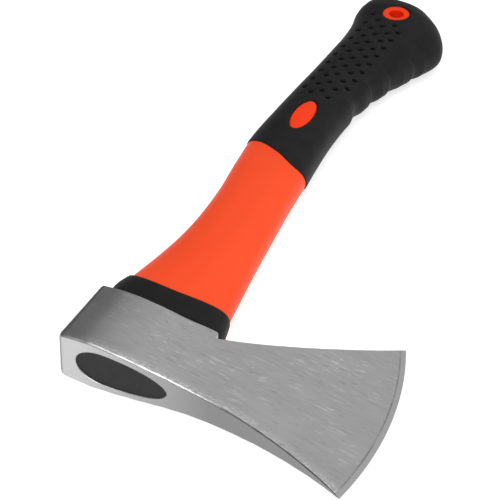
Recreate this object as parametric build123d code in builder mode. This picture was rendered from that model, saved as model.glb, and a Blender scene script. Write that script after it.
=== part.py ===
from build123d import *
from math import cos, pi, sin, sqrt
import os

# A hatchet lying on its side. +X points at the cutting edge, +Y runs from the head to the butt,
# +Z is up, through the thickness. The origin is under the middle of the whole tool, on the
# surface it lies on. Every sketch is drawn about the middle of the eye. Millimetres throughout.
EYE_CENTRE = (-43.45, -156.05, 13.2)

# Head, seen from the side
POLL_X = -32.2
EYE_HEIGHT = 39.0
BROW_START_X = 20.0
EDGE_RADIUS = 172.0
EDGE_CENTRE = (-52.9, 7.3)
TOE_Y = -20.9
HEEL_Y = 77.0
BEARD_MID = (66.0, 52.0)
STEP_X = 29.0
STEP_DEPTH = 4.0
STEP_FILLET = 1.5

# Head, seen from the top: half thickness of the cheeks
POLL_HALF = 11.9
CHEEK_MID = [(-18.0, 13.2), (0.0, 12.1), (16.0, 10.1)]
CHEEK_END = (30.0, 8.3)
CHEEK_SLOPE = 0.085
BEVEL_WIDTH = 2.5
BEVEL_HALF = 0.8
EDGE_HALF = 0.1
EDGE_MARGIN = 1.0
HOLLOW_WIDTH = 45.0
HOLLOW_SLOPE = 0.12
POLL_FILLET = 2.0

# Eye, a teardrop of four elliptical quarters that meet where it is widest
EYE_BACK = -23.0
EYE_FRONT = 23.3
EYE_WIDEST_X = -9.0
EYE_HALF = 8.8
EYE_MARGIN = 5.0
BOND_GAP = 1.0
CAP_DEPTH = 2.0
CAP_RECESS = 0.2

# Core, a straight pultruded bar that leans a little towards the poll
CORE_WIDTH = 18.0
CORE_THICKNESS = 10.0
CORE_LEAN = 0.032
CORE_END_Y = 292.0

# Handle skins: y, x on the poll side, x on the bit side, thickness
COLLAR = [
    (34.0, -28.0, 30.6, 22.6),
    (39.0, -29.4, 30.0, 24.0),
    (46.0, -30.4, 28.6, 24.4),
    (60.0, -28.0, 24.9, 22.6),
]
NECK = [
    (50.0, -31.6, 27.4, 22.6),
    (60.0, -28.4, 24.8, 21.8),
    (80.0, -24.7, 21.4, 21.0),
    (100.0, -22.5, 18.4, 20.8),
    (120.0, -22.4, 15.7, 21.0),
    (140.0, -23.8, 13.0, 21.6),
    (160.0, -26.5, 10.8, 22.4),
    (185.0, -29.3, 8.2, 23.0),
]
GRIP = [
    (150.0, -26.2, 12.2, 23.6),
    (165.0, -27.8, 10.9, 24.0),
    (182.0, -29.2, 8.8, 24.6),
    (210.0, -29.0, 6.4, 24.8),
    (232.0, -28.4, 6.4, 24.8),
    (255.0, -27.6, 9.0, 25.0),
    (275.0, -27.4, 14.8, 25.4),
    (292.0, -27.5, 21.4, 25.8),
    (305.0, -28.8, 25.3, 26.1),
    (316.0, -31.1, 21.2, 26.2),
    (324.0, -31.2, 15.0, 25.2),
    (330.0, -29.2, 7.0, 21.6),
    (333.0, -25.5, 0.0, 15.0),
]
OVAL_POWER = 2.4
OVAL_POINTS = 20

# Where one skin stops and the next begins, seen from the side
COLLAR_LINE = [(-36.0, 58.6), (-2.5, 51.4), (31.0, 57.0)]
GRIP_LINE = [(-38.0, 184.4), (-10.0, 170.8), (18.0, 164.6)]
SPIGOT_WIDTH = 44.0
SPIGOT_THICKNESS = 17.0
SPIGOT_LENGTH = 18.0
GRIP_WALL = 3.6
BUTT_FILLET = 2.5
SHANK_END_Y = 330.0

# Finger notches on the bit side of the grip, with rounded pads between them
FINGER_START = (6.6, 229.0)
FINGER_NOTCHES = [(4.9, 239.2), (6.9, 255.3), (11.1, 270.1), (18.0, 289.3)]
FINGER_END = (24.6, 300.0)
FINGER_BULGE = 1.8

# Oval inlays and lanyard eye
INLAY_CENTRE = (-10.0, 205.0)
INLAY_LENGTH = 26.0
INLAY_WIDTH = 10.6
INLAY_LEAN = 3.0
INLAY_RECESS = 0.5
LANYARD_CENTRE = (-6.8, 315.4)
LANYARD_HOLE_RADIUS = 3.8
EYELET_RADIUS = 7.4
EYELET_HALF = 12.3

REACH = 200.0
TOUCH = 0.2

side = Plane(origin=EYE_CENTRE)


def across(y, x=0.0):
    """Plane across the handle at y, with its middle at x."""
    return Plane(origin=side.from_local_coords((x, y, 0)), x_dir=(1, 0, 0), z_dir=(0, 1, 0))


def on_edge_arc(y):
    """Point of the cutting edge at y."""
    rise = y - EDGE_CENTRE[1]
    return (EDGE_CENTRE[0] + sqrt(EDGE_RADIUS**2 - rise**2), y)


def step_corner_edges(part):
    """Edges through the thickness where the underside steps up to the beard."""
    corner = Vector(side.from_local_coords((STEP_X, EYE_HEIGHT, 0)))
    upright = part.edges().filter_by(Axis.Z)
    return upright.filter_by(lambda edge: (edge.center() - corner).length < TOUCH)


def oval_points(width, thickness):
    """Points of a superellipse, a little squarer than an ellipse."""
    points = []
    for i in range(OVAL_POINTS):
        angle = 2 * pi * i / OVAL_POINTS
        x = abs(cos(angle)) ** (2 / OVAL_POWER) * (1 if cos(angle) >= 0 else -1)
        z = abs(sin(angle)) ** (2 / OVAL_POWER) * (1 if sin(angle) >= 0 else -1)
        points.append((x * width / 2, z * thickness / 2))
    return points


def oval_skin(stations, wall=0.0):
    """Solid lofted through ovals at the stations, smaller all round by the wall."""
    with BuildPart() as skin:
        for y, poll_x, bit_x, thickness in stations:
            width = bit_x - poll_x - 2 * wall
            with BuildSketch(across(y, (poll_x + bit_x) / 2)):
                with BuildLine():
                    Spline(*oval_points(width, thickness - 2 * wall), periodic=True)
                make_face()
        loft()
    return skin.part


def eye_outline(gap=0.0):
    """Teardrop sketch of the eye, smaller all round by the gap."""
    with BuildSketch() as eye:
        with BuildLine():
            widest = (EYE_WIDEST_X, 0)
            back = EYE_WIDEST_X - EYE_BACK - gap
            front = EYE_FRONT - EYE_WIDEST_X - gap
            EllipticalCenterArc(widest, back, EYE_HALF - gap, start_angle=90, arc_size=90)
            EllipticalCenterArc(widest, front, EYE_HALF - gap, start_angle=0, arc_size=90)
            mirror(about=Plane.XZ)
        make_face()
    return eye.sketch


def core_bar():
    """The straight bar inside the handle."""
    with BuildPart() as bar:
        foot = side.from_local_coords((0, CAP_DEPTH, 0))
        with BuildSketch(Plane(foot, x_dir=(1, CORE_LEAN, 0), z_dir=(-CORE_LEAN, 1, 0))):
            SlotOverall(CORE_WIDTH, CORE_THICKNESS)
        extrude(amount=CORE_END_Y - CAP_DEPTH)
    return bar.part


def level(y):
    """The ends of a straight line square across the handle at y."""
    return [(-REACH, y), (REACH, y)]


def zone(start_line, end_line):
    """Block between two lines across the handle, each straight or bowed."""
    with BuildPart() as block:
        with BuildSketch(side):
            with BuildLine():
                ends = []
                for points in (start_line, end_line):
                    line = Line(*points) if len(points) == 2 else ThreePointArc(*points)
                    ends.append(line)
                Line(ends[0] @ 0, ends[1] @ 0)
                Line(ends[0] @ 1, ends[1] @ 1)
            make_face()
        extrude(amount=REACH, both=True)
    return block.part


def inlay_outline():
    """Sketch of the oval inlay, seen from the side."""
    with BuildSketch() as inlay:
        with Locations(Location((*INLAY_CENTRE, 0), (0, 0, INLAY_LEAN))):
            Ellipse(INLAY_WIDTH / 2, INLAY_LENGTH / 2)
    return inlay.sketch


# Head: the side outline, the cheeks and the ground edge all bound it
with BuildPart() as axe_head:
    toe = on_edge_arc(TOE_Y)
    heel = on_edge_arc(HEEL_Y)
    step = (STEP_X, EYE_HEIGHT - STEP_DEPTH)
    with BuildSketch(side):
        with BuildLine():
            crown = Line((POLL_X, 0), (BROW_START_X, 0))
            TangentArc(crown @ 1, toe, tangent=crown % 1)
            RadiusArc(toe, heel, -EDGE_RADIUS)
            ThreePointArc(heel, BEARD_MID, step)
            Polyline(step, (STEP_X, EYE_HEIGHT), (POLL_X, EYE_HEIGHT), (POLL_X, 0))
        make_face()
        fillet(vertices().group_by(Axis.X)[0], POLL_FILLET)
    extrude(amount=2 * POLL_HALF, both=True)
    with BuildSketch(across(-REACH)):
        with BuildLine():
            cheek = Spline((POLL_X, POLL_HALF), *CHEEK_MID, CHEEK_END)
            far_x = EDGE_CENTRE[0] + EDGE_RADIUS + EDGE_MARGIN
            far_half = CHEEK_END[1] - CHEEK_SLOPE * (far_x - CHEEK_END[0])
            Polyline(CHEEK_END, (far_x, far_half), (far_x, 0), (POLL_X, 0), (POLL_X, POLL_HALF))
        make_face()
        fillet(vertices().group_by(Axis.X)[0].sort_by(Axis.Y)[-1], POLL_FILLET)
        mirror(about=Plane.XZ)
    extrude(amount=2 * REACH, mode=Mode.INTERSECT)
    with BuildSketch(across(EDGE_CENTRE[1])):
        with BuildLine():
            bevel_x = EDGE_CENTRE[0] + EDGE_RADIUS - BEVEL_WIDTH
            hollow_x = bevel_x - HOLLOW_WIDTH
            hollow_half = BEVEL_HALF + HOLLOW_SLOPE * HOLLOW_WIDTH
            Polyline(
                (EDGE_CENTRE[0], 0),
                (EDGE_CENTRE[0], 2 * POLL_HALF),
                (hollow_x - HOLLOW_WIDTH, 2 * POLL_HALF),
                (hollow_x, hollow_half),
                (bevel_x, BEVEL_HALF),
                (bevel_x + BEVEL_WIDTH, EDGE_HALF),
                (bevel_x + BEVEL_WIDTH, 0),
                close=True,
            )
        make_face()
        mirror(about=Plane.XZ)
    edge_axis = Axis(side.from_local_coords((*EDGE_CENTRE, 0)), (0, 0, 1))
    revolve(axis=edge_axis, revolution_arc=360, mode=Mode.INTERSECT)
    fillet(step_corner_edges(axe_head.part), STEP_FILLET)
    with BuildSketch(across(-EYE_MARGIN)):
        add(eye_outline())
    extrude(amount=EYE_HEIGHT + 2 * EYE_MARGIN, mode=Mode.SUBTRACT)
axe_head.part.label = "axe_head"

# Core bar
with BuildPart() as fibreglass_core:
    add(core_bar())
fibreglass_core.part.label = "fibreglass_core"

# Tenon that fills the eye round the core
with BuildPart() as eye_tenon:
    with BuildSketch(across(CAP_DEPTH)):
        add(eye_outline(BOND_GAP))
    extrude(amount=EYE_HEIGHT - CAP_DEPTH)
    add(core_bar(), mode=Mode.SUBTRACT)
eye_tenon.part.label = "eye_tenon"

# Resin between the tenon and the eye, with a cap over the tenon's end
with BuildPart() as epoxy_fill:
    with BuildSketch(across(CAP_RECESS)):
        add(eye_outline())
    extrude(amount=EYE_HEIGHT - CAP_RECESS)
    add(eye_tenon.part, mode=Mode.SUBTRACT)
    add(core_bar(), mode=Mode.SUBTRACT)
epoxy_fill.part.label = "epoxy_fill"

# Moulded body: bare neck, spigot under the collar, slim shank under the grip
with BuildPart() as neck_form:
    add(oval_skin(NECK))
    add(zone(COLLAR_LINE, GRIP_LINE), mode=Mode.INTERSECT)

with BuildPart() as shank_form:
    add(oval_skin(GRIP, GRIP_WALL))
    add(zone(GRIP_LINE, level(SHANK_END_Y)), mode=Mode.INTERSECT)

with BuildPart() as handle_body:
    with BuildSketch(across(EYE_HEIGHT)):
        SlotOverall(SPIGOT_WIDTH, SPIGOT_THICKNESS)
    extrude(amount=SPIGOT_LENGTH)
    add(neck_form.part)
    add(shank_form.part)
    add(core_bar(), mode=Mode.SUBTRACT)
    with BuildSketch(side):
        with Locations(LANYARD_CENTRE):
            Circle(EYELET_RADIUS)
    extrude(amount=REACH, both=True, mode=Mode.SUBTRACT)
handle_body.part.label = "handle_body"

# Soft shoulder between the head and the neck
with BuildPart() as head_collar:
    add(oval_skin(COLLAR))
    add(zone(level(EYE_HEIGHT - STEP_DEPTH), COLLAR_LINE), mode=Mode.INTERSECT)
    with BuildSketch(side):
        with Locations((STEP_X, EYE_HEIGHT)):
            Rectangle(REACH, STEP_DEPTH, align=(Align.MAX, Align.MAX))
    extrude(amount=REACH, both=True, mode=Mode.SUBTRACT)
    add(axe_head.part, mode=Mode.SUBTRACT)
    add(epoxy_fill.part, mode=Mode.SUBTRACT)
    add(eye_tenon.part, mode=Mode.SUBTRACT)
    add(handle_body.part, mode=Mode.SUBTRACT)
    add(core_bar(), mode=Mode.SUBTRACT)
head_collar.part.label = "head_collar"

# Lanyard bush
with BuildPart() as lanyard_eyelet:
    with BuildSketch(side):
        with Locations(LANYARD_CENTRE):
            Circle(EYELET_RADIUS)
            Circle(LANYARD_HOLE_RADIUS, mode=Mode.SUBTRACT)
    extrude(amount=EYELET_HALF, both=True)
lanyard_eyelet.part.label = "lanyard_eyelet"

# Rubber skin of the grip, with windows for the inlays and the bush, and finger notches
with BuildPart() as rubber_grip:
    add(oval_skin(GRIP))
    add(zone(GRIP_LINE, level(2 * REACH)), mode=Mode.INTERSECT)
    add(handle_body.part, mode=Mode.SUBTRACT)
    add(core_bar(), mode=Mode.SUBTRACT)
    with BuildSketch(side):
        with Locations(LANYARD_CENTRE):
            Circle(EYELET_RADIUS)
        add(inlay_outline())
    extrude(amount=REACH, both=True, mode=Mode.SUBTRACT)
    with BuildSketch(side):
        with BuildLine():
            Line(FINGER_START, FINGER_NOTCHES[0])
            pad_ends = FINGER_NOTCHES + [FINGER_END]
            for low, high in zip(pad_ends, pad_ends[1:]):
                SagittaArc(low, high, -FINGER_BULGE)
            clear_x = 2 * FINGER_END[0]
            Polyline(FINGER_END, (clear_x, FINGER_END[1]), (clear_x, FINGER_START[1]), FINGER_START)
        make_face()
    extrude(amount=REACH, both=True, mode=Mode.SUBTRACT)
    butt_face = rubber_grip.faces().sort_by(Axis.Y)[-1]
    fillet(butt_face.edges(), BUTT_FILLET)
rubber_grip.part.label = "rubber_grip"

# Inlays, one in each face of the grip
with BuildPart() as inlay_pair:
    add(oval_skin(GRIP, INLAY_RECESS))
    with BuildSketch(side):
        add(inlay_outline())
    extrude(amount=REACH, both=True, mode=Mode.INTERSECT)
    add(handle_body.part, mode=Mode.SUBTRACT)
    add(core_bar(), mode=Mode.SUBTRACT)

with BuildPart() as grip_inlay_upper:
    add(inlay_pair.part)
    split(bisect_by=side, keep=Keep.TOP)
grip_inlay_upper.part.label = "grip_inlay_upper"

with BuildPart() as grip_inlay_lower:
    add(inlay_pair.part)
    split(bisect_by=side, keep=Keep.BOTTOM)
grip_inlay_lower.part.label = "grip_inlay_lower"

os.makedirs("parts", exist_ok=True)
export_step(axe_head.part, "parts/axe_head.step")
export_step(fibreglass_core.part, "parts/fibreglass_core.step")
export_step(eye_tenon.part, "parts/eye_tenon.step")
export_step(epoxy_fill.part, "parts/epoxy_fill.step")
export_step(handle_body.part, "parts/handle_body.step")
export_step(head_collar.part, "parts/head_collar.step")
export_step(rubber_grip.part, "parts/rubber_grip.step")
export_step(lanyard_eyelet.part, "parts/lanyard_eyelet.step")
export_step(grip_inlay_upper.part, "parts/grip_inlay_upper.step")
export_step(grip_inlay_lower.part, "parts/grip_inlay_lower.step")
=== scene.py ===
import bmesh
import bpy
import numpy as np
from math import cos, pi, radians, sin, sqrt, tau
from mathutils import Matrix, Vector, noise


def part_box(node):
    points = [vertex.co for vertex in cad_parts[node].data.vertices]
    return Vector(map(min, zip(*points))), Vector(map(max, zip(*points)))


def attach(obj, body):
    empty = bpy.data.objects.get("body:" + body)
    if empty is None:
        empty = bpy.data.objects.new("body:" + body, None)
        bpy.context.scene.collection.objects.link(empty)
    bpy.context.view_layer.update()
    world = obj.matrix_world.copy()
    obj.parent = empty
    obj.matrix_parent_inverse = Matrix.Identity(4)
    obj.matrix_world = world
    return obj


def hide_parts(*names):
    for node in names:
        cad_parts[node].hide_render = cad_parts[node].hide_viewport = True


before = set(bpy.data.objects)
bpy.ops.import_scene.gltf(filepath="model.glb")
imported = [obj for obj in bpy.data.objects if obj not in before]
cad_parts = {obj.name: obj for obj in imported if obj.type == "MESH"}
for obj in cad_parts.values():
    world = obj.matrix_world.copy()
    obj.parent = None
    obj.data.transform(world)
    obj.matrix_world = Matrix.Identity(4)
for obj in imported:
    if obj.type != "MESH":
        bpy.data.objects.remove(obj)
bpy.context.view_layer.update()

# Everything is in metres. Shapes are drawn about the middle of the eye, where x points at the
# cutting edge, y at the butt and z up, and are then shifted to the frame by EYE.

# Head
POLL_X = -0.0322
HEIGHT = 0.039
BROW_X = 0.020
EDGE_RADIUS = 0.172
EDGE_CENTRE = (-0.0529, 0.0073)
TOE_Y = -0.0209
HEEL_Y = 0.077
BEARD_MID = (0.066, 0.052)
STEP = (0.029, 0.035)
STEP_ROUND = 0.0015
CHEEK_X = (POLL_X, -0.018, 0.0, 0.016, 0.030, 0.060, 0.121)
CHEEK_HALF = (0.0119, 0.0132, 0.0121, 0.0101, 0.0083, 0.00575, 0.00057)
BEVEL_WIDTH = 0.0025
BEVEL_HALF = 0.0008
EDGE_HALF = 0.0001
HOLLOW_SLOPE = 0.12
HOLLOW_BLEND = 0.0005
BEVEL_CREASE = 0.0004
RIDGE_WEAR = 0.005
POLL_ROUND = 0.002
POLL_TOP_ROUND = 0.003
WAVE_DEPTH = 0.00003
WAVE_LENGTH = (0.035, 0.012)
THIN = 0.0015
UNEVEN = 0.3
UNEVEN_LENGTH = 0.006
RIDGE_ROUND = 0.00045
WORN_ROUND = ((-0.030, 0.0016), (0.030, 0.0013), (0.100, 0.0009))
EYE_ENDS = (-0.023, 0.0233)
EYE_WIDEST_X = -0.009
EYE_HALF = 0.0088
EYE_FLARE = 0.0003
EYE_AROUND = 128
OUTLINE_POINTS = 400
BOND_GAP = 0.001
CAP_DEPTH = 0.002
CAP_SINK = 0.0006
CAP_RISE = 0.00025
CAP_FADE = 0.0006
CAP_RIPPLE = 0.00006

# Handle stations: y, x on the poll side, x on the bit side, thickness
COLLAR = (
    (0.0340, -0.0300, 0.0306, 0.0226),
    (0.0390, -0.0314, 0.0300, 0.0240),
    (0.0460, -0.0320, 0.0286, 0.0244),
    (0.0505, -0.0319, 0.0275, 0.0241),
    (0.0568, -0.0302, 0.0258, 0.0231),
    (0.0607, -0.0287, 0.0248, 0.0226),
    (0.0680, -0.0270, 0.0236, 0.0220),
)
NECK = (
    (0.038, -0.0320, 0.0278, 0.0222),
    (0.050, -0.0300, 0.0264, 0.0222),
    (0.060, -0.0281, 0.0246, 0.0217),
    (0.080, -0.0247, 0.0214, 0.0210),
    (0.100, -0.0225, 0.0184, 0.0208),
    (0.120, -0.0224, 0.0157, 0.0210),
    (0.140, -0.0238, 0.0130, 0.0216),
    (0.160, -0.0265, 0.0108, 0.0224),
    (0.185, -0.0293, 0.0082, 0.0230),
)
GRIP = (
    (0.150, -0.0262, 0.0122, 0.0236),
    (0.165, -0.0278, 0.0109, 0.0240),
    (0.182, -0.0292, 0.0088, 0.0246),
    (0.210, -0.0290, 0.0064, 0.0248),
    (0.232, -0.0284, 0.0064, 0.0248),
    (0.255, -0.0276, 0.0090, 0.0250),
    (0.275, -0.0274, 0.0148, 0.0254),
    (0.292, -0.0275, 0.0214, 0.0258),
    (0.305, -0.0288, 0.0253, 0.0261),
    (0.316, -0.0311, 0.0212, 0.0262),
    (0.324, -0.0312, 0.0150, 0.0252),
    (0.330, -0.0292, 0.0070, 0.0216),
    (0.333, -0.0255, 0.0000, 0.0150),
)
OVAL_POWER = 2.4
COLLAR_LIP = 0.0008
MOUTH_LIP = 0.0006
# Where the collar ends and where the grip starts: y at each x
COLLAR_LINE = (
    (-0.0320, 0.0615),
    (-0.0290, 0.0587),
    (-0.0270, 0.0573),
    (-0.0240, 0.0559),
    (-0.0180, 0.0542),
    (-0.0100, 0.0528),
    (0.0000, 0.0518),
    (0.0100, 0.0521),
    (0.0200, 0.0537),
    (0.0310, 0.0570),
)
GRIP_LINE = (
    (-0.0300, 0.1797),
    (-0.0190, 0.1779),
    (-0.0070, 0.1736),
    (0.0050, 0.1681),
    (0.0110, 0.1675),
)
GRIP_TILT = 0.3
GRIP_START = 0.1639
GRIP_END = 0.3290
BUTT_FULLNESS = 0.6
BUTT_Y = 0.33295
GRIP_WALL = 0.0036
SHANK_END_Y = 0.330
SPIGOT_INSET = 0.0030
SPIGOT_CLEAR = 0.0002
NECK_UNDER_COLLAR = 0.0030
NECK_UNDER_GRIP = 0.0045

# Finger notches, with a rounded pad after each
FINGER_START = (0.0066, 0.229)
FINGER_NOTCHES = ((0.0050, 0.2380), (0.0069, 0.2540), (0.0111, 0.2690), (0.0177, 0.2870))
FINGER_END = (0.0246, 0.300)
FINGER_BULGE = 0.0019
FINGER_SKEW = 1.6
FINGER_FADE = 0.006
FINGER_SPREAD = 0.008

# Dimples in both faces of the grip: the ends of each column and how many it has
DIMPLES = (
    ((-0.0207, 0.2290), (-0.0185, 0.3099), 10),
    ((-0.0157, 0.2250), (-0.0132, 0.3045), 10),
    ((-0.0111, 0.2287), (-0.0083, 0.2992), 9),
    ((-0.0057, 0.2248), (-0.0026, 0.3028), 10),
    ((-0.0007, 0.2386), (0.0017, 0.2973), 8),
)
DIMPLE_LENGTH = 0.0029
DIMPLE_WIDTH = 0.0033
DIMPLE_DEPTH = 0.0009
DIMPLE_POWER = 1.5
DIMPLE_RIM = 1.25
DIMPLE_WALL = 0.6
DIMPLE_ROWS_Y = (0.2215, 0.3165)
FACE_Z = 0.004

# Inlays and lanyard bush
INLAY_CENTRE = (-0.010, 0.205)
INLAY_LENGTH = 0.026
INLAY_WIDTH = 0.0106
INLAY_LEAN = radians(3)
INLAY_GAP = 0.0003
INLAY_RECESS = 0.0004
INLAY_RIM = 0.0007
INLAY_CROWN = 0.00025
INLAY_SEAT_Z = 0.0085
WINDOW_LIP = 0.0012
WINDOW_DROP = 0.0005
LANYARD_CENTRE = (-0.0068, 0.3154)
LANYARD_HOLE = 0.0038
LANYARD_OUTER = 0.0074
LANYARD_HALF = 0.0121
BUSH_INNER_ROUND = 0.0007
BUSH_OUTER_ROUND = 0.0005
HOLE_SHADE_FADE = 0.0006
FIT = 0.00005
WELD = 1e-7
CUTTER_HALF = 0.03
CUTTER_REACH = 0.06
HANDLE_AROUND = 168
GRIP_AROUND = 220
ROUND_AROUND = 96

# Colours, linear
STEEL = (0.55, 0.545, 0.545)
STEEL_DARK = (0.49, 0.485, 0.485)
STEEL_LIGHT = (0.60, 0.595, 0.595)
STEEL_BRIGHT = (0.84, 0.84, 0.84)
STEEL_CHIP = (0.95, 0.95, 0.95)
STEEL_BEVEL = (0.53, 0.525, 0.525)
# STEEL_SHADE is painted shade beside the eye, on faces turned to the poll and along the bevel's inner
# border; it is also the own tone of the dark flecks and of the cheek toward the edge end.
STEEL_SHADE = (0.26, 0.255, 0.26)
# Painted dark reflection line along the upper top ridge
STEEL_RIDGE_LINE_SHADE = (0.17, 0.168, 0.17)
STEEL_TOP = (0.505, 0.505, 0.505)
# Painted shade for the top face toward the toe
STEEL_TOE_SHADE = (0.235, 0.232, 0.235)
ORANGE = (0.97, 0.084, 0.023)
ORANGE_SHADE = (0.94, 0.077, 0.020)
INSERT = (0.97, 0.050, 0.008)
INSERT_SHADE = (0.94, 0.045, 0.006)
# Painted shade inside the lanyard hole
HOLE_SHADE_RED = (0.82, 0.027, 0.003)
GRIP_BLACK = (0.0110, 0.0105, 0.0109)
GRIP_WORN = (0.0145, 0.0139, 0.0144)
COLLAR_BLACK = (0.0108, 0.0108, 0.0108)
COLLAR_WORN = (0.0128, 0.0128, 0.0128)
# Painted shade in the dimples
PIT_SHADE = (0.0022, 0.0022, 0.0022)
RUBBER_GLOSS = 0.13
RESIN = (0.010, 0.010, 0.010)
RESIN_SPECK = (0.022, 0.022, 0.022)
GLASS = (0.72, 0.68, 0.52)
GLASS_SHADE = (0.5, 0.46, 0.32)
FLOOR = (0.60, 0.60, 0.60)
FLOOR_PALE = (0.64, 0.64, 0.64)
FLOOR_GLOW = 0.68
FLOOR_SIZE = 6.0
SKY = 0.66
SKY_DARK = 0.2
SKY_EDGE = (-0.50, -0.33)

# Camera, and the spot beside the eye that the lights face
AZIMUTH = radians(-25.967)
ELEVATION = radians(39.158)
ROLL = radians(1.772)
DISTANCE = 0.95552
LOOK_AT = Vector((0.00984, 0.10701, 0))
LENS = 144
SENSOR = 36
NEAR = 0.01
LIGHT_AIM = Vector((0, 0.1, 0))
LIGHT_DISTANCE = 1.5

head_low, head_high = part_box("axe_head")
EYE = Vector((head_low.x - POLL_X, head_low.y - TOE_Y, (head_low.z + head_high.z) / 2))


# Meshes

def new_object(name, points, faces):
    """Smooth-shaded object from points drawn about the eye."""
    mesh = bpy.data.meshes.new(name)
    mesh.from_pydata((np.asarray(points) + np.array(EYE)).tolist(), [], faces)
    mesh.validate()
    mesh.shade_smooth()
    obj = bpy.data.objects.new(name, mesh)
    bpy.context.scene.collection.objects.link(obj)
    return obj


def ring_faces(count, around):
    """Quads between rings of points that follow each other."""
    faces = []
    for i in range(count - 1):
        for j in range(around):
            k = (j + 1) % around
            faces.append((i * around + j, i * around + k, (i + 1) * around + k, (i + 1) * around + j))
    return faces


def ring_object(name, rings):
    """Closed object through rings of points, with a flat face at each end."""
    rings = np.asarray(rings)
    count, around = rings.shape[:2]
    faces = ring_faces(count, around)
    faces.append(tuple(reversed(range(around))))
    faces.append(tuple(range((count - 1) * around, count * around)))
    obj = new_object(name, rings.reshape(-1, 3), faces)
    return outward(obj)


def outward(obj):
    """Turns the faces of a closed object to point out."""
    mesh = obj.data
    corners = np.empty(len(mesh.vertices) * 3)
    mesh.vertices.foreach_get("co", corners)
    corners = corners.reshape(-1, 3) - np.array(EYE)
    mesh.calc_loop_triangles()
    index = np.empty(len(mesh.loop_triangles) * 3, int)
    mesh.loop_triangles.foreach_get("vertices", index)
    a, b, c = (corners[index.reshape(-1, 3)[:, i]] for i in range(3))
    if np.einsum("ij,ij->i", a, np.cross(b, c)).sum() < 0:
        mesh.flip_normals()
    return obj


def cut(obj, other):
    """Takes one closed object out of another. The first stays, and the other is used up."""
    modifier = obj.modifiers.new("cut", "BOOLEAN")
    modifier.operation = "DIFFERENCE"
    modifier.solver = "MANIFOLD"
    modifier.object = other
    graph = bpy.context.evaluated_depsgraph_get()
    mesh = bpy.data.meshes.new_from_object(obj.evaluated_get(graph))
    obj.modifiers.clear()
    obj.data = mesh
    bpy.data.objects.remove(other)


def cutter_like(obj):
    """Copy of an object to cut with."""
    copy = bpy.data.objects.new("cutter", obj.data.copy())
    bpy.context.scene.collection.objects.link(copy)
    return copy


def crease(obj, degrees):
    """Smooth shading, except across edges sharper than this."""
    obj.data.shade_smooth()
    obj.data.set_sharp_from_angle(angle=radians(degrees))
    return obj


def through(at, places, values):
    """Smooth curve through values at rising places."""
    places = np.asarray(places)
    values = np.asarray(values)
    slopes = np.gradient(values, places)
    i = np.clip(np.searchsorted(places, at) - 1, 0, len(places) - 2)
    step = places[i + 1] - places[i]
    t = np.clip((at - places[i]) / step, 0, 1)
    rise = t * t * (3 - 2 * t)
    leave = t * (1 - t) ** 2 * step * slopes[i]
    arrive = t * t * (t - 1) * step * slopes[i + 1]
    return values[i] * (1 - rise) + values[i + 1] * rise + leave + arrive


def circle_through(a, b, c):
    """Centre and radius of the circle through three points of a plane."""
    left = np.array([[b[0] - a[0], b[1] - a[1]], [c[0] - a[0], c[1] - a[1]]])
    right = np.array([np.dot(b, b) - np.dot(a, a), np.dot(c, c) - np.dot(a, a)]) / 2
    centre = np.linalg.solve(left, right)
    return centre, np.linalg.norm(centre - np.array(a))


def bowed(line, tilt=0.0):
    """Smooth line across the handle, y at each x and z. A tilt leans it to the butt underneath."""
    return lambda x, z: through(x, *zip(*line)) - tilt * z


def signed_power(value, power):
    """Power of a value that keeps its sign."""
    return np.sign(value) * np.abs(value) ** power


def ease(value):
    """0 to 1, smoothly."""
    value = np.clip(value, 0, 1)
    return value * value * (3 - 2 * value)


def oval(stations, y, turn, inset=0.0):
    """Points (x, z) at angles round the oval section at y, smaller all round by the inset."""
    places, poll, bit, thick = (np.array(column) for column in zip(*stations))
    left = through(y, places, poll) + inset
    right = through(y, places, bit) - inset
    half = through(y, places, thick) / 2 - inset
    x = (left + right) / 2 + (right - left) / 2 * signed_power(np.cos(turn), 2 / OVAL_POWER)
    z = half * signed_power(np.sin(turn), 2 / OVAL_POWER)
    return x, z


def skin_rings(stations, start, end, steps, insets, around):
    """Rings of an oval skin between two lines, each at a step from 0 at the start to 1 at the end."""
    turn = np.arange(around) * tau / around
    s, turn = np.meshgrid(steps, turn, indexing="ij")
    inset = np.repeat(np.asarray(insets)[:, None], around, axis=1)
    x = np.zeros_like(s)
    z = np.zeros_like(s)
    for _ in range(8):
        y = (1 - s) * start(x, z) + s * end(x, z)
        x, z = oval(stations, y, turn)
    x, z = oval(stations, y, turn, inset)
    return np.stack([x, y, z], axis=-1)


def rounded_mouth(lip, span):
    """Steps and insets of rings that turn in over a rounded end and go deep inside it."""
    angle = np.linspace(0, pi / 2, 6)
    deep = (0.006, 0.004, 0.0025, 0.0015)
    steps = [0.0] * len(deep) + list(lip * (1 - np.cos(angle)) / span)
    insets = list(deep) + list(lip * (1 - np.sin(angle)))
    return steps, insets


def level(y):
    """Straight line across the handle, y at each x and z."""
    return lambda x, z: np.full_like(x, y)


def shifted(line, amount):
    """The same line across the handle, moved along it."""
    return lambda x, z: line(x, z) + amount


def upright(ring):
    """Closed cutter from underneath to above, through a ring that a function gives at each height."""
    return ring_object("cutter", [ring(z) for z in (-CUTTER_HALF, CUTTER_HALF)])


def hole_ring(radius, z):
    """Circle about the lanyard hole at a height."""
    turn = np.arange(ROUND_AROUND) * tau / ROUND_AROUND
    x = LANYARD_CENTRE[0] + radius * np.cos(turn)
    y = LANYARD_CENTRE[1] + radius * np.sin(turn)
    return np.column_stack([x, y, np.full(ROUND_AROUND, z)])


def bush_cutter():
    """Cutter for the lanyard bush's seat."""
    return upright(lambda z: hole_ring(LANYARD_OUTER + FIT, z))


# Head

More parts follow.
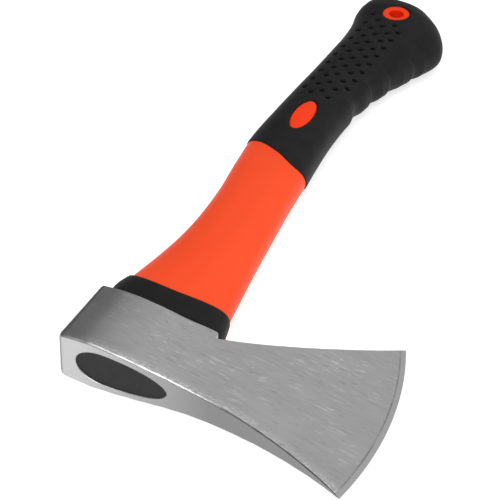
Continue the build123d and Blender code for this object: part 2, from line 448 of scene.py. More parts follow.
def top_outline():
    """Points along the top of the head, from the poll to the toe."""
    toe_x = EDGE_CENTRE[0] + sqrt(EDGE_RADIUS**2 - (TOE_Y - EDGE_CENTRE[1]) ** 2)
    run = toe_x - BROW_X
    radius = (run**2 + TOE_Y**2) / (-2 * TOE_Y)
    angle = np.linspace(0, np.arcsin(run / radius), OUTLINE_POINTS)
    arc = np.stack([BROW_X + radius * np.sin(angle), radius * np.cos(angle) - radius], axis=-1)
    return np.vstack([[(POLL_X, 0.0)], arc])


def beard_outline():
    """Points along the beard, from the step to the heel."""
    heel_x = EDGE_CENTRE[0] + sqrt(EDGE_RADIUS**2 - (HEEL_Y - EDGE_CENTRE[1]) ** 2)
    centre, radius = circle_through(STEP, BEARD_MID, (heel_x, HEEL_Y))
    from_centre = [np.array(p) - centre for p in (STEP, (heel_x, HEEL_Y))]
    angles = [np.arctan2(p[1], p[0]) for p in from_centre]
    angle = np.linspace(angles[0], angles[1], OUTLINE_POINTS)
    return centre + radius * np.stack([np.cos(angle), np.sin(angle)], axis=-1)


def distance_to_edge_centre(points):
    """How far points of the side view are from the centre of the cutting edge's curve."""
    return np.hypot(points[..., 0] - EDGE_CENTRE[0], points[..., 1] - EDGE_CENTRE[1])


def piece_of(outline, value, low, high, count):
    """Points spread evenly along an outline, over the stretch where a rising value goes from low to high."""
    at = np.linspace(0, 1, count)
    length = np.concatenate([[0], np.cumsum(np.hypot(*np.diff(outline, axis=0).T))])
    ends = np.interp([low, high], value, length)
    where = ends[0] + at * (ends[1] - ends[0])
    return np.stack([np.interp(where, length, outline[:, i]) for i in range(2)], axis=-1)


def head_half(x, y):
    """Half thickness of the head: the cheeks, the hollow behind the edge and the bevel."""
    cheek = through(x, CHEEK_X, CHEEK_HALF)
    depth = EDGE_RADIUS - np.hypot(x - EDGE_CENTRE[0], y - EDGE_CENTRE[1])
    hollow = BEVEL_HALF + HOLLOW_SLOPE * (depth - BEVEL_WIDTH)
    gap = cheek - hollow
    body = (cheek + hollow - np.sqrt(gap**2 + HOLLOW_BLEND**2)) / 2
    bevel = EDGE_HALF + (BEVEL_HALF - EDGE_HALF) * np.maximum(depth, 0) / BEVEL_WIDTH
    return np.where(depth < BEVEL_WIDTH, np.minimum(bevel, cheek), np.maximum(body, BEVEL_HALF * 0.9))


def poll_corner(radius):
    """Rounded corner of the side view at the poll: x, and the distance in from the outline."""
    turn = np.linspace(0, pi / 2, 9)[:-1]
    return POLL_X + radius * (1 - np.cos(turn)), radius * (1 - np.sin(turn))


def head_columns():
    """Columns from poll to edge: top point, bottom point, how far it bows with the edge, and its inset."""
    top = top_outline()
    beard = beard_outline()
    bevel = EDGE_RADIUS - BEVEL_WIDTH
    corner_x = STEP[0] - STEP_ROUND
    split_x = STEP[0] + STEP_ROUND

    tops = [np.stack(poll_corner(POLL_TOP_ROUND), axis=-1)]
    round_x, round_y = poll_corner(POLL_ROUND)
    bottoms = [np.stack([round_x, HEIGHT - round_y], axis=-1)]

    rounds = (POLL_TOP_ROUND, POLL_ROUND)
    top_x, bottom_x = (np.linspace(POLL_X + radius, corner_x, 90)[:-1] for radius in rounds)
    tops.append(np.stack([top_x, np.interp(top_x, top[:, 0], top[:, 1])], axis=-1))
    bottoms.append(np.stack([bottom_x, np.full_like(bottom_x, HEIGHT)], axis=-1))

    fillet = np.linspace(0, pi / 2, 8)
    step_down = np.linspace(HEIGHT - STEP_ROUND, STEP[1], 8)[1:-1]
    fillet_x = corner_x + STEP_ROUND * np.sin(fillet)
    fillet_y = HEIGHT - STEP_ROUND * (1 - np.cos(fillet))
    step_x = np.concatenate([fillet_x, np.full_like(step_down, STEP[0])])
    step_y = np.concatenate([fillet_y, step_down])
    step_top = np.linspace(corner_x, split_x, len(step_x) + 1)[:-1]
    tops.append(np.stack([step_top, np.interp(step_top, top[:, 0], top[:, 1])], axis=-1))
    bottoms.append(np.stack([step_x, step_y], axis=-1))

    blade = 130
    top_reach = distance_to_edge_centre(top)
    beard_reach = distance_to_edge_centre(beard)
    tops.append(piece_of(top, top_reach, np.interp(split_x, top[:, 0], top_reach), bevel, blade)[:-1])
    bottoms.append(piece_of(beard, beard_reach, 0, bevel, blade)[:-1])

    ground = 12
    tops.append(piece_of(top, top_reach, bevel, EDGE_RADIUS, ground))
    bottoms.append(piece_of(beard, beard_reach, bevel, EDGE_RADIUS, ground))

    tops = np.vstack(tops)
    bottoms = np.vstack(bottoms)
    count = len(tops)
    start = count - ground - blade + 1
    bow = ease((np.arange(count) - start) / (blade - 1))
    inset = np.zeros(count)
    inset[: len(round_y)] = round_y
    return tops, bottoms, bow, inset


def column_points(top, bottom, bow, v):
    """Points down a column, from straight to following the curve of the edge."""
    centre = np.array(EDGE_CENTRE)
    straight = top + np.outer(v, bottom - top)
    reach = [np.linalg.norm(p - centre) for p in (top, bottom)]
    angle = [np.arctan2(*(p - centre)[::-1]) for p in (top, bottom)]
    radius = reach[0] + v * (reach[1] - reach[0])
    turn = angle[0] + v * (angle[1] - angle[0])
    curved = centre + np.stack([radius * np.cos(turn), radius * np.sin(turn)], axis=-1)
    return straight + bow * (curved - straight)


def ridge_round(x, side):
    """Radius of the head's long edges, softer along the top and uneven as ground by hand."""
    radius = RIDGE_ROUND if side else np.interp(x, *zip(*WORN_ROUND))
    return radius * (1 + UNEVEN * noise.noise(Vector((x / UNEVEN_LENGTH, side, 0.0))))


def head_loop(top, bottom, bow, inset):
    """Half loop round a column of the head, from the middle of its top to the middle of its underside."""
    length = np.linalg.norm(bottom - top)
    near = []
    corner = np.linspace(0, pi / 2, 7)
    for end in (0, 1):
        point = (top, bottom)[end]
        half = float(head_half(*point)) - inset
        radius = min(ridge_round(point[0], end), 0.6 * half)
        flat = half - radius
        across = np.concatenate([np.linspace(0, 0.86, 11), [0.97]]) * flat
        v = np.concatenate([np.zeros(len(across)), radius * (1 - np.cos(corner)) / length])
        drop = np.concatenate([half - across, radius * (1 - np.sin(corner))])
        near.append((v, drop, radius))
    inner = np.linspace(0, 1, 110)
    start_v = (near[0][2] + 0.0001) / length
    end_v = (near[1][2] + 0.0001) / length
    middle = start_v + inner * (1 - start_v - end_v)
    v = np.concatenate([near[0][0], middle, 1 - near[1][0][::-1]])
    drop = np.concatenate([near[0][1], np.zeros(len(middle)), near[1][1][::-1]])
    flat = column_points(top, bottom, bow, v)
    z = head_half(flat[:, 0], flat[:, 1]) - inset - drop
    z[0] = 0
    z[-1] = 0
    return np.column_stack([flat, np.maximum(z, 0)])


def grinding_waves(points):
    """Shallow waves that hand grinding leaves in the cheeks, where the head isn't thin."""
    waves = np.zeros(points.shape[:2])
    for i in range(points.shape[0]):
        for j in range(points.shape[1]):
            x, y, z = points[i, j]
            if z > THIN:
                place = Vector((x / WAVE_LENGTH[0], y / WAVE_LENGTH[1], 0.0))
                waves[i, j] = WAVE_DEPTH * (1 + noise.noise(place))
    return waves


def eye_ring(y, gap):
    """Ring of the teardrop eye at y, smaller all round by the gap."""
    turn = np.arange(EYE_AROUND) * tau / EYE_AROUND
    front = EYE_ENDS[1] - EYE_WIDEST_X - gap
    back = EYE_WIDEST_X - EYE_ENDS[0] - gap
    reach = np.where(np.cos(turn) > 0, front, back)
    x = EYE_WIDEST_X + reach * np.cos(turn)
    z = (EYE_HALF - gap) * np.sin(turn)
    return np.column_stack([x, np.full(EYE_AROUND, y), z])


def eye_cutter():
    """Prism of the eye, flared a little at both faces of the head."""
    below = 0.004
    rows = (
        (-below, -EYE_FLARE),
        (0.0, -EYE_FLARE),
        (EYE_FLARE, 0.0),
        (HEIGHT - EYE_FLARE, 0.0),
        (HEIGHT, -EYE_FLARE),
        (HEIGHT + below, -EYE_FLARE),
    )
    return ring_object("cutter", [eye_ring(y, gap) for y, gap in rows])


def build_head():
    """The forged and ground head, with the eye cut through it."""
    halves = np.array([head_loop(*column) for column in zip(*head_columns())])
    halves[..., 2] -= grinding_waves(halves)
    mirrored = halves[:, -2:0:-1] * np.array([1, 1, -1])
    loops = np.concatenate([halves, mirrored], axis=1)
    count, around = loops.shape[:2]
    faces = ring_faces(count, around)
    half = halves.shape[1]
    for row, flip in ((0, False), (count - 1, True)):
        base = row * around
        for i in range(half - 1):
            face = [base + i, base + (around - i) % around, base + around - i - 1, base + i + 1]
            if i == 0:
                face = [base, base + around - 1, base + 1]
            if i == half - 2:
                face = [base + i, base + around - i, base + i + 1]
            faces.append(tuple(face[::-1] if flip else face))
    head = outward(new_object("ground_head", loops.reshape(-1, 3), faces))
    cut(head, eye_cutter())
    return crease(head, 28)


def build_resin():
    """Resin round the tenon, capped flush with the top of the head with a small meniscus."""
    clear = 0.00003
    rings = [eye_ring(CAP_DEPTH, 0.0060), eye_ring(CAP_DEPTH, BOND_GAP)]
    rings += [eye_ring(HEIGHT, BOND_GAP), eye_ring(HEIGHT, clear)]
    for gap in (clear, 0.0003, 0.0007, 0.0012, 0.002, 0.0035, 0.0055, 0.0075):
        cap = eye_ring(CAP_SINK - CAP_RISE * np.exp(-gap / CAP_FADE), gap)
        for point in cap:
            point[1] += CAP_RIPPLE * noise.noise(Vector(point) / 0.006)
        rings.append(cap)
    return crease(ring_object("resin_cap", rings), 40)


# Handle

def finger_line(y):
    """x of the bit side where the finger notches shape it."""
    places = (FINGER_START,) + FINGER_NOTCHES + (FINGER_END,)
    xs, ys = (np.array(values) for values in zip(*places))
    line = np.interp(y, ys, xs)
    for low, high in zip(FINGER_NOTCHES, FINGER_NOTCHES[1:] + (FINGER_END,)):
        t = np.clip((y - low[1]) / (high[1] - low[1]), 0, 1) ** FINGER_SKEW
        line = line + FINGER_BULGE * 4 * t * (1 - t)
    return line


def finger_press(points):
    """How deep the finger side is pressed in at each point of the grip's skin."""
    y = points[..., 1]
    places, _, bit, _ = zip(*GRIP)
    plain = through(y, places, bit)
    inside = (y > FINGER_START[1]) & (y < FINGER_END[1])
    depth = np.where(inside, np.maximum(plain - finger_line(y), 0), 0)
    return depth * ease((points[..., 0] - plain + FINGER_SPREAD) / FINGER_FADE)


def lozenge(points, centre):
    """Depth of one dimple at each point: steep sides and a rounded floor."""
    across = np.abs(points[..., 0] - centre[0]) / (DIMPLE_WIDTH / 2)
    along = np.abs(points[..., 1] - centre[1]) / (DIMPLE_LENGTH / 2)
    reach = (across**DIMPLE_POWER + along**DIMPLE_POWER) ** (1 / DIMPLE_POWER)
    return DIMPLE_DEPTH * ease((DIMPLE_RIM - reach) / DIMPLE_WALL)


def dimple_press(points):
    """How deep the dimples press each point of the grip's skin."""
    depth = np.zeros(points.shape[:2])
    face = np.abs(points[..., 2]) > FACE_Z
    for first, last, count in DIMPLES:
        for centre in np.linspace(first, last, count):
            near = face & (np.abs(points[..., 1] - centre[1]) < DIMPLE_LENGTH)
            near &= np.abs(points[..., 0] - centre[0]) < DIMPLE_WIDTH
            depth[near] = np.maximum(depth[near], lozenge(points[near], centre))
    return depth


def inlay_reach(points):
    """1 on the inlay's outline, less inside it."""
    x = points[..., 0] - INLAY_CENTRE[0]
    y = points[..., 1] - INLAY_CENTRE[1]
    across = x * cos(INLAY_LEAN) + y * sin(INLAY_LEAN)
    along = y * cos(INLAY_LEAN) - x * sin(INLAY_LEAN)
    return np.hypot(across / (INLAY_WIDTH / 2), along / (INLAY_LENGTH / 2))


def lip_press(points):
    """How far the skin rounds over into the inlay windows and the lanyard bush's seat."""
    face = np.abs(points[..., 2]) > FACE_Z
    from_inlay = (inlay_reach(points) - 1) * INLAY_WIDTH / 2
    from_hole = np.hypot(points[..., 0] - LANYARD_CENTRE[0], points[..., 1] - LANYARD_CENTRE[1])
    press = np.zeros(points.shape[:2])
    for distance in (from_inlay, from_hole - LANYARD_OUTER):
        press = np.maximum(press, WINDOW_DROP * np.clip(1 - distance / WINDOW_LIP, 0, 1) ** 2)
    return np.where(face, press, 0)


def surface_normals(points):
    """Outward normals of a grid of rings."""
    along = np.gradient(points, axis=0)
    around = (np.roll(points, -1, axis=1) - np.roll(points, 1, axis=1)) / 2
    normal = np.cross(around, along)
    normal /= np.maximum(np.linalg.norm(normal, axis=-1, keepdims=True), 1e-12)
    middle = points.mean(axis=1, keepdims=True)
    if np.sum(normal * (points - middle)) < 0:
        normal = -normal
    return normal


def handle_rings():
    """Rings of the moulded body: spigot under the collar, bare neck, shank under the grip."""
    collar_line = bowed(COLLAR_LINE)
    grip_line = bowed(GRIP_LINE, GRIP_TILT)
    neck_start = shifted(collar_line, -NECK_UNDER_COLLAR)
    neck_end = shifted(grip_line, NECK_UNDER_GRIP)
    parts = (
        (COLLAR, level(HEIGHT + SPIGOT_CLEAR), neck_start, 8, SPIGOT_INSET),
        (NECK, neck_start, neck_end, 150, 0.0),
        (GRIP, neck_end, level(SHANK_END_Y), 90, GRIP_WALL),
    )
    rings = []
    for stations, start, end, count, inset in parts:
        steps = np.linspace(0, 1, count)
        rings.append(skin_rings(stations, start, end, steps, np.full(count, inset), HANDLE_AROUND))
    return np.concatenate(rings)


def block(low, high):
    """Closed cutter between two corners of the side view, through the mid-plane."""
    corners = [(low[0], low[1]), (high[0], low[1]), (high[0], high[1]), (low[0], high[1])]
    return upright(lambda z: [(x, y, z) for x, y in corners])


def welded_node(node):
    """Closed copy of a CAD node, drawn where the node is."""
    copy = cutter_like(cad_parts[node])
    mesh = bmesh.new()
    mesh.from_mesh(copy.data)
    bmesh.ops.remove_doubles(mesh, verts=mesh.verts, dist=WELD)
    mesh.to_mesh(copy.data)
    mesh.free()
    return copy


def build_handle():
    """Moulded body, less the core's place and the lanyard bush's seat."""
    body = ring_object("moulded_body", handle_rings())
    cut(body, welded_node("fibreglass_core"))
    cut(body, bush_cutter())
    return crease(body, 35)


def build_collar(head, body):
    """Soft shoulder: pressed against the head, with a rounded lip over the neck."""
    middle_y = np.interp(0.0, *zip(*COLLAR_LINE))
    steps, insets = rounded_mouth(COLLAR_LIP, middle_y - STEP[1])
    steps = [1 - step for step in reversed(steps)]
    plain = list(np.linspace(0, steps[0], 40)[:-1])
    insets = [0.0] * len(plain) + list(reversed(insets))
    rings = skin_rings(COLLAR, level(STEP[1]), bowed(COLLAR_LINE), plain + steps, insets, HANDLE_AROUND)
    collar = ring_object("soft_collar", rings)
    cut(collar, block((-CUTTER_REACH, 0.0), (STEP[0], HEIGHT)))
    cut(collar, cutter_like(head))
    cut(collar, cutter_like(body))
    return crease(collar, 35)


def grip_steps():
    """Rows along the grip, closer together where the dimples are."""
    first, last = DIMPLE_ROWS_Y
    rows = []
    for low, high, count in ((GRIP_START, first, 66), (first, last, 270), (last, GRIP_END, 24)):
        rows += list((np.linspace(low, high, count)[1:] - GRIP_START) / (BUTT_Y - GRIP_START))
    return rows


def butt_rings(last):
    """Rings that close the butt in a rounded end from the last ring."""
    rings = []
    middle = last.mean(axis=0)
    rise = BUTT_Y - middle[1]
    for angle in np.linspace(0, pi / 2, 14)[1:]:
        shrink = max(cos(angle), 0.002) ** BUTT_FULLNESS
        ring = middle + (last - middle) * shrink
        ring[:, 1] = middle[1] + (last[:, 1] - middle[1]) * shrink + rise * sin(angle)
        rings.append(ring)
    return np.array(rings)


def build_grip(body):
    """Rubber skin: an oval with a rounded mouth, pressed in by fingers and dimples, its windows cut."""
    steps, insets = rounded_mouth(MOUTH_LIP, BUTT_Y - GRIP_START)
    rows = [step for step in grip_steps() if step > steps[-1]]
    insets = insets + [0.0] * len(rows)
    rings = skin_rings(GRIP, bowed(GRIP_LINE, GRIP_TILT), level(BUTT_Y), steps + rows, insets, GRIP_AROUND)
    press = finger_press(rings) + dimple_press(rings) + lip_press(rings)
    press[: len(steps)] = 0
    rings = rings - surface_normals(rings) * press[..., None]
    rings = np.concatenate([rings, butt_rings(rings[-1])])
    grip = ring_object("grip_skin", rings)
    cut(grip, cutter_like(body))
    cut(grip, upright(lambda z: inlay_ring(1, z, INLAY_GAP)))
    cut(grip, bush_cutter())
    return crease(grip, 40)


def inlay_ring(scale, z, grow=0.0):
    """Ellipse of the inlay at a height, or at heights given by a function of x and y."""
    turn = np.arange(ROUND_AROUND) * tau / ROUND_AROUND
    across = (INLAY_WIDTH / 2 + grow) * scale * np.cos(turn)
    along = (INLAY_LENGTH / 2 + grow) * scale * np.sin(turn)
    x = INLAY_CENTRE[0] + across * cos(INLAY_LEAN) - along * sin(INLAY_LEAN)
    y = INLAY_CENTRE[1] + across * sin(INLAY_LEAN) + along * cos(INLAY_LEAN)
    return np.column_stack([x, y, z(x, y) if callable(z) else np.full(ROUND_AROUND, z)])


def face_height(x, y):
    """Height of the grip's upper face above the mid-plane."""
    places, poll, bit, thick = (np.array(column) for column in zip(*GRIP))
    left = through(y, places, poll)
    right = through(y, places, bit)
    u = np.abs(2 * x - left - right) / (right - left)
    return through(y, places, thick) / 2 * (1 - np.clip(u, 0, 1) ** OVAL_POWER) ** (1 / OVAL_POWER)


def build_inlay(name, side):
    """Oval button that follows the grip's face, with a rounded rim and a slight crown."""
    rings = [inlay_ring(scale, INLAY_SEAT_Z) for scale in (0.05, 0.6, 1.0)]
    angle = np.linspace(0, pi / 2, 8)
    inner = [0.75, 0.6, 0.45, 0.3, 0.15, 0.03]
    scales = list(1 - INLAY_RIM * (1 - np.cos(angle)) / (INLAY_WIDTH / 2)) + inner
    drops = list(INLAY_RIM * (1 - np.sin(angle))) + [0.0] * len(inner)
    for scale, drop in zip(scales, drops):
        low = INLAY_RECESS + drop - INLAY_CROWN * (1 - scale**2)
        rings.append(inlay_ring(scale, lambda x, y: face_height(x, y) - low))
    rings = np.array(rings)
    rings[..., 2] *= side
    return crease(ring_object(name, rings), 40)


def build_bush():
    """Lanyard bush: a turned ring with soft edges at both ends of its hole."""
    profile = []
    for a in np.linspace(0, pi / 2, 9):
        soft = BUSH_OUTER_ROUND
        profile.append((LANYARD_OUTER - soft + soft * cos(a), LANYARD_HALF - soft + soft * sin(a)))
    for a in np.linspace(0, pi / 2, 9):
        soft = BUSH_INNER_ROUND
        profile.append((LANYARD_HOLE + soft - soft * sin(a), LANYARD_HALF - soft + soft * cos(a)))
    profile += [(r, -z) for r, z in reversed(profile)]
    rings = [hole_ring(r, z) for r, z in profile]
    count = len(rings) * ROUND_AROUND
    faces = [tuple(i % count for i in face) for face in ring_faces(len(rings) + 1, ROUND_AROUND)]
    return crease(outward(new_object("lanyard_bush", np.concatenate(rings), faces)), 40)


# Materials

def new_material(name, colour, roughness, metallic=0.0, specular=0.5):
    """Principled material: its tree and its shader."""
    material = bpy.data.materials.new(name)
    material.use_nodes = True
    shader = material.node_tree.nodes["Principled BSDF"]
    shader.inputs["Base Color"].default_value = (*colour, 1)
    shader.inputs["Roughness"].default_value = roughness
    shader.inputs["Metallic"].default_value = metallic
    shader.inputs["Specular IOR Level"].default_value = specular
    return material, material.node_tree, shader


def add_node(tree, kind, inputs=None, **settings):
    """Node with its settings and its input values or links."""
    node = tree.nodes.new(kind)
    for key, value in settings.items():
        setattr(node, key, value)
    for key, value in (inputs or {}).items():
        if isinstance(value, bpy.types.NodeSocket):
            tree.links.new(value, node.inputs[key])
        else:
            node.inputs[key].default_value = value
    return node


def grain(tree, stretch, scale, detail=3.0, turn=0.0, rough=0.55):
    """Noise in the object's own space, stretched along its axes. Returns its value socket."""
    coords = add_node(tree, "ShaderNodeTexCoord").outputs["Object"]
    inputs = {"Vector": coords, "Scale": stretch, "Rotation": (0, 0, turn)}
    mapped = add_node(tree, "ShaderNodeMapping", inputs).outputs["Vector"]
    inputs = {"Vector": mapped, "Scale": scale, "Detail": detail, "Roughness": rough}
    return add_node(tree, "ShaderNodeTexNoise", inputs).outputs["Fac"]


def spread(tree, value, low, high, to_low=0.0, to_high=1.0):
    """Value rescaled from one range to another, clamped."""
    inputs = {"Value": value, "From Min": low, "From Max": high, "To Min": to_low, "To Max": to_high}
    return add_node(tree, "ShaderNodeMapRange", inputs).outputs["Result"]


def blend_colour(tree, amount, first, second):
    """Mix of two colours or colour sockets. Returns its colour socket."""
    node = add_node(tree, "ShaderNodeMix", data_type="RGBA")
    for index, value in ((0, amount), (6, first), (7, second)):
        if isinstance(value, bpy.types.NodeSocket):
            tree.links.new(value, node.inputs[index])
        elif index:
            node.inputs[index].default_value = (*value, 1)
        else:
            node.inputs[index].default_value = value
    return node.outputs[2]


def bump(tree, shader, height, distance):
    """Fine relief on the shader, added to any that it has."""
    inputs = {"Height": height, "Distance": distance, "Strength": 1.0}
    earlier = shader.inputs["Normal"].links
    if earlier:
        inputs["Normal"] = earlier[0].from_socket
    node = add_node(tree, "ShaderNodeBump", inputs)
    tree.links.new(node.outputs["Normal"], shader.inputs["Normal"])


def product(tree, *values):
    """Product of value sockets."""
    result = values[0]
    for value in values[1:]:
        node = add_node(tree, "ShaderNodeMath", operation="MULTIPLY")
        tree.links.new(result, node.inputs[0])
        tree.links.new(value, node.inputs[1])
        result = node.outputs[0]
    return result


def attribute(tree, name):
    """Value that a mesh stores for each of its points."""
    return add_node(tree, "ShaderNodeAttribute", attribute_name=name).outputs["Fac"]


def parts_of(tree, kind, output):
    """X, Y and Z of a vector that a node gives."""
    vector = add_node(tree, kind).outputs[output]
    return add_node(tree, "ShaderNodeSeparateXYZ", {"Vector": vector}).outputs


def steel():
    """Ground steel: streaks and flecks on the cheeks, a worn and chipped top ridge, a plainer top face.
    Painted shade darkens the top face toward the toe, the cheek beside the eye, faces turned to the poll and
    the bevel's inner border, and a painted dark reflection line runs along the upper top ridge toward the
    toe.
    """
    material, tree, shader = new_material("ground_steel", STEEL, 0.34, metallic=1.0)
    shader.inputs["Specular Tint"].default_value = (0.55, 0.55, 0.55, 1)
    lean = radians(-4)
    streaks = grain(tree, (0.05, 1, 1), 900, 4, lean)
    flecks = grain(tree, (0.16, 1, 1), 800, 3, lean)
    clouds = grain(tree, (0.4, 1, 1), 90, 4, lean)
    patches = grain(tree, (0.6, 1, 1), 52, 2, lean)
    chips = grain(tree, (0.35, 1, 1), 1200, 3, radians(20))
    facing = parts_of(tree, "ShaderNodeNewGeometry", "Normal")
    place = parts_of(tree, "ShaderNodeTexCoord", "Object")
    ridge = attribute(tree, "ridge")

    def along(low, high, to_low=0.0, to_high=1.0):
        """Value that changes along the head, between two x about the eye."""
        return spread(tree, place["X"], EYE.x + low, EYE.x + high, to_low, to_high)

    steepness = add_node(tree, "ShaderNodeMath", {0: facing["Z"]}, operation="ABSOLUTE").outputs[0]
    cheek = product(tree, spread(tree, steepness, 0.55, 0.9), along(-0.028, -0.006, 0.25, 1.0))
    top = spread(tree, facing["Y"], -0.8, -0.95)
    # Painted shade on the cheek beside the eye, fading out on both sides of it.
    shade_beside_eye = product(tree, along(-0.032, -0.014, 0.4, 1.0), along(-0.014, 0.004, 0.35, 0.0))
    wear = product(tree, spread(tree, chips, 0.40, 0.58, 0.05, 0.65), ridge, cheek)
    bright = product(
        tree,
        spread(tree, flecks, 0.58, 0.68, 0.0, 0.75),
        spread(tree, patches, 0.42, 0.62),
        cheek,
        along(0.082, 0.112, 1.0, 0.5),
    )
    dark = product(tree, spread(tree, flecks, 0.30, 0.38, 0.4, 0.0), cheek)
    chipped = product(
        tree,
        spread(tree, chips, 0.52, 0.60, 0.0, 0.9),
        ridge,
        cheek,
        spread(tree, patches, 0.38, 0.55),
    )
    bevel = product(tree, attribute(tree, "bevel"), spread(tree, streaks, 0.3, 0.7, 0.7, 1.0))
    # Painted shade along the crease at the bevel's inner border.
    crease_border_shade = product(tree, attribute(tree, "crease"), spread(tree, clouds, 0.35, 0.6, 0.25, 1.0))
    # Painted dark reflection on the upper side of the top ridge toward the toe, picked by which way the
    # surface faces.
    ridge_line_shade = product(
        tree,
        spread(tree, facing["Y"], -0.25, -0.5),
        spread(tree, facing["Z"], 0.3, 0.5),
        along(0.035, 0.055),
    )
    base = STEEL_DARK
    for amount, colour in (
        (spread(tree, streaks, 0.3, 0.7), STEEL),
        (spread(tree, clouds, 0.35, 0.65, 0.0, 0.4), STEEL_LIGHT),
        (shade_beside_eye, STEEL_SHADE),
        (along(0.082, 0.112, 0.0, 0.07), STEEL_SHADE),
        (wear, STEEL_BRIGHT),
        (bright, STEEL_BRIGHT),
        (dark, STEEL_SHADE),
        (chipped, STEEL_CHIP),
        (bevel, STEEL_BEVEL),
        (crease_border_shade, STEEL_SHADE),
        (top, STEEL_TOP),
        # Painted shade: the top face grows darker toward the toe.
        (product(tree, top, along(-0.022, 0.045)), STEEL_TOE_SHADE),
        # Painted shade on faces turned toward the poll.
        (spread(tree, facing["X"], -0.12, -0.4, 0.0, 0.6), STEEL_SHADE),
        (ridge_line_shade, STEEL_RIDGE_LINE_SHADE),
    ):
        base = blend_colour(tree, amount, base, colour)
    tree.links.new(base, shader.inputs["Base Color"])
    tree.links.new(spread(tree, streaks, 0.3, 0.7, 0.38, 0.29), shader.inputs["Roughness"])
    bump(tree, shader, streaks, 0.00002)
    bump(tree, shader, flecks, 0.00002)
    return material


def moulded_plastic(name, colour, shade, roughness, specular, hole_shade=False):
    """Moulded plastic: faintly cloudy, with a fine skin texture, and painted shade in deeper red inside the
    lanyard hole.
    """
    material, tree, shader = new_material(name, colour, roughness, specular=specular)
    clouds = grain(tree, (1, 0.5, 1), 45, 3)
    skin = grain(tree, (1, 1, 1), 2600, 2)
    scuffs = grain(tree, (1, 0.15, 1), 500, 3, radians(12))
    base = blend_colour(tree, spread(tree, clouds, 0.35, 0.65), shade, colour)
    # Painted shade: deeper red inside the lanyard hole.
    if hole_shade:
        base = blend_colour(tree, attribute(tree, "hole_shade"), base, HOLE_SHADE_RED)
    tree.links.new(base, shader.inputs["Base Color"])
    rough = spread(tree, scuffs, 0.4, 0.7, roughness - 0.04, roughness + 0.06)
    tree.links.new(rough, shader.inputs["Roughness"])
    bump(tree, shader, skin, 0.000012)
    bump(tree, shader, clouds, 0.00012)
    return material


def rubber(name, colour, worn, pits=False):
    """Matt rubber: fine grain and faint mottling, and painted shade on the dimple floors where it has pits.
    """
    material, tree, shader = new_material(name, colour, 0.55, specular=RUBBER_GLOSS)
    mottle = grain(tree, (1, 1, 1), 130, 4)
    skin = grain(tree, (1, 1, 1), 2400, 3)
    base = blend_colour(tree, spread(tree, mottle, 0.35, 0.65), colour, worn)
    rough = spread(tree, skin, 0.3, 0.7, 0.5, 0.64)
    if pits:
        # Painted shade on the dimple floors.
        depth = attribute(tree, "pit_shade")
        base = blend_colour(tree, depth, base, PIT_SHADE)
        rough = add_node(tree, "ShaderNodeMath", {0: rough, 1: depth}, operation="MAXIMUM").outputs[0]
    tree.links.new(base, shader.inputs["Base Color"])
    tree.links.new(rough, shader.inputs["Roughness"])
    bump(tree, shader, skin, 0.00003)
    bump(tree, shader, mottle, 0.00005)
    return material


def resin():
    """Poured resin: flat dark grey with fine specks and slight ripples."""
    material, tree, shader = new_material("poured_resin", RESIN, 0.5, specular=0.25)
    specks = grain(tree, (1, 1, 1), 1500, 2)
    ripple = grain(tree, (1, 1, 1), 220, 3)
    base = blend_colour(tree, spread(tree, specks, 0.62, 0.72, 0.0, 0.5), RESIN, RESIN_SPECK)
    tree.links.new(base, shader.inputs["Base Color"])
    tree.links.new(spread(tree, ripple, 0.3, 0.7, 0.45, 0.56), shader.inputs["Roughness"])
    bump(tree, shader, ripple, 0.00006)
    return material


def fibreglass():
    """Pultruded bar: pale resin with glass strands along it."""
    material, tree, shader = new_material("glass_fibre", GLASS, 0.45)
    strands = grain(tree, (1, 0.02, 1), 1800, 4)
    base = blend_colour(tree, spread(tree, strands, 0.35, 0.65), GLASS_SHADE, GLASS)
    tree.links.new(base, shader.inputs["Base Color"])
    tree.links.new(spread(tree, strands, 0.3, 0.7, 0.38, 0.55), shader.inputs["Roughness"])
    bump(tree, shader, strands, 0.00003)
    return material


def pale_floor():
    """Plain pale floor with a trace of mottling."""
    material, tree, shader = new_material("pale_floor", FLOOR, 0.9, specular=0.0)
    mottle = grain(tree, (1, 1, 1), 6, 2)
    base = blend_colour(tree, spread(tree, mottle, 0.3, 0.7), FLOOR, FLOOR_PALE)
    tree.links.new(base, shader.inputs["Base Color"])
    shader.inputs["Emission Color"].default_value = (1, 1, 1, 1)
    shader.inputs["Emission Strength"].default_value = FLOOR_GLOW
    return material


def coat(obj, material):
    """Makes this the object's only material."""
    obj.data.materials.clear()
    obj.data.materials.append(material)


def dress(obj, material, node):
    """Gives a piece its material, its body and the node that it stands for."""
    coat(obj, material)
    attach(obj, "root")
    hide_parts(node)


def points_of(obj):
    """Corner points of an object, about the eye."""
    points = np.empty(len(obj.data.vertices) * 3)
    obj.data.vertices.foreach_get("co", points)
    return points.reshape(-1, 3) - np.array(EYE)


def mark(obj, name, values):
    """Stores a value from 0 to 1 for each point of an object, for its material."""
    attribute = obj.data.attributes.new(name, "FLOAT", "POINT")
    attribute.data.foreach_set("value", values.astype(np.float32))


def mark_pit_shade(grip):
    """How deep in a dimple each point of the grip is, full before the floor is reached, for the painted
    shade in the dimples.
    """
    depth = dimple_press(points_of(grip)[None])[0] / DIMPLE_DEPTH
    mark(grip, "pit_shade", np.clip(1.25 * depth, 0, 1))


def mark_hole_shade(bush):
    """How far inside the lanyard hole each point of the bush is, for the painted shade there."""
    points = points_of(bush)
    reach = np.hypot(points[:, 0] - LANYARD_CENTRE[0], points[:, 1] - LANYARD_CENTRE[1])
    mark(bush, "hole_shade", np.clip((LANYARD_HOLE + HOLE_SHADE_FADE - reach) / HOLE_SHADE_FADE, 0, 1))


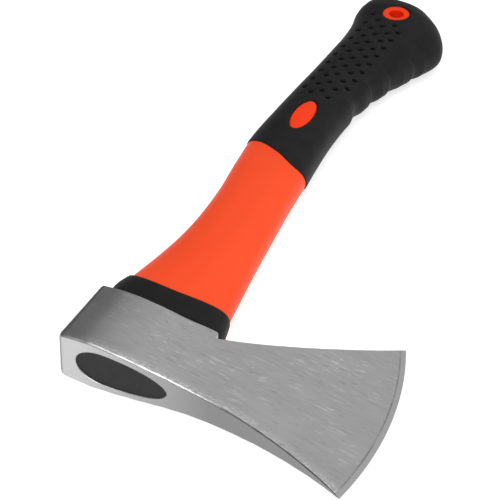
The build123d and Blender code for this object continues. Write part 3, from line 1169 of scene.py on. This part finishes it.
def mark_steel(head):
    """How near each point of the head is to the top ridge, the bevel and the bevel's inner border."""
    points = points_of(head)
    outline = top_outline()
    below = points[:, 1] - np.interp(points[:, 0], outline[:, 0], outline[:, 1])
    mark(head, "ridge", np.clip(1 - below / RIDGE_WEAR, 0, 1))
    depth = EDGE_RADIUS - distance_to_edge_centre(points)
    mark(head, "bevel", np.clip((BEVEL_WIDTH - depth) / BEVEL_CREASE, 0, 1))
    mark(head, "crease", np.clip(1 - np.abs(depth - BEVEL_WIDTH) / BEVEL_CREASE, 0, 1))


# Pieces, in the order in which they are cut to fit each other
head = build_head()
body = build_handle()
collar = build_collar(head, body)
grip = build_grip(body)
mark_pit_shade(grip)
mark_steel(head)
orange = moulded_plastic("orange_plastic", ORANGE, ORANGE_SHADE, 0.45, 0.12)
insert = moulded_plastic("orange_insert", INSERT, INSERT_SHADE, 0.42, 0.12)
ring_orange = moulded_plastic("orange_bush", INSERT, INSERT_SHADE, 0.42, 0.12, hole_shade=True)
grip_black = rubber("grip_rubber", GRIP_BLACK, GRIP_WORN, pits=True)
dress(head, steel(), "axe_head")
dress(build_resin(), resin(), "epoxy_fill")
dress(body, orange, "handle_body")
dress(collar, rubber("collar_rubber", COLLAR_BLACK, COLLAR_WORN), "head_collar")
dress(grip, grip_black, "rubber_grip")
dress(build_inlay("upper_inlay", 1), insert, "grip_inlay_upper")
dress(build_inlay("lower_inlay", -1), insert, "grip_inlay_lower")
bush = build_bush()
mark_hole_shade(bush)
dress(bush, ring_orange, "lanyard_eyelet")

# The hidden bar and tenon keep their CAD shapes
coat(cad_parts["fibreglass_core"], fibreglass())
coat(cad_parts["eye_tenon"], rubber("nylon", GRIP_BLACK, GRIP_WORN))

# Floor
bpy.ops.mesh.primitive_grid_add(x_subdivisions=4, y_subdivisions=4, size=FLOOR_SIZE)
floor = bpy.context.object
floor.name = "floor"
floor.data.materials.append(pale_floor())


def soft_light(name, direction, size, power):
    """Square soft light that faces the object from a direction."""
    light = bpy.data.lights.new(name, "AREA")
    light.shape = "SQUARE"
    light.size = size
    light.energy = power
    lamp = bpy.data.objects.new(name, light)
    bpy.context.scene.collection.objects.link(lamp)
    away = Vector(direction).normalized()
    lamp.location = EYE + LIGHT_AIM + away * LIGHT_DISTANCE
    lamp.rotation_euler = away.to_track_quat("Z", "Y").to_euler()


# Light: two soft lamps, and a sky that is darker on the poll side
soft_light("front_light", (0.20, -0.45, 0.87), 0.9, 10.5)
soft_light("ridge_light", (-0.12, -0.69, 0.71), 0.7, 3)
world = bpy.data.worlds.new("studio")
bpy.context.scene.world = world
world.use_nodes = True
sky = world.node_tree
toward = parts_of(sky, "ShaderNodeTexCoord", "Generated")
shade = spread(sky, toward["X"], *SKY_EDGE, SKY_DARK, 1.0)
sky.links.new(shade, sky.nodes["Background"].inputs["Color"])
sky.nodes["Background"].inputs["Strength"].default_value = SKY

# Camera
gaze = Vector((sin(AZIMUTH) * cos(ELEVATION), cos(AZIMUTH) * cos(ELEVATION), -sin(ELEVATION)))
flat_right = Vector((cos(AZIMUTH), -sin(AZIMUTH), 0))
flat_up = flat_right.cross(gaze)
right = cos(ROLL) * flat_right + sin(ROLL) * flat_up
up = cos(ROLL) * flat_up - sin(ROLL) * flat_right
lens = bpy.data.cameras.new("camera")
lens.lens = LENS
lens.sensor_width = SENSOR
lens.clip_start = NEAR
camera = bpy.data.objects.new("camera", lens)
bpy.context.scene.collection.objects.link(camera)
turned = Matrix((right, up, -gaze)).transposed().to_4x4()
camera.matrix_world = Matrix.Translation(EYE + LOOK_AT - gaze * DISTANCE) @ turned
bpy.context.scene.camera = camera
bpy.context.scene.view_settings.view_transform = "Standard"
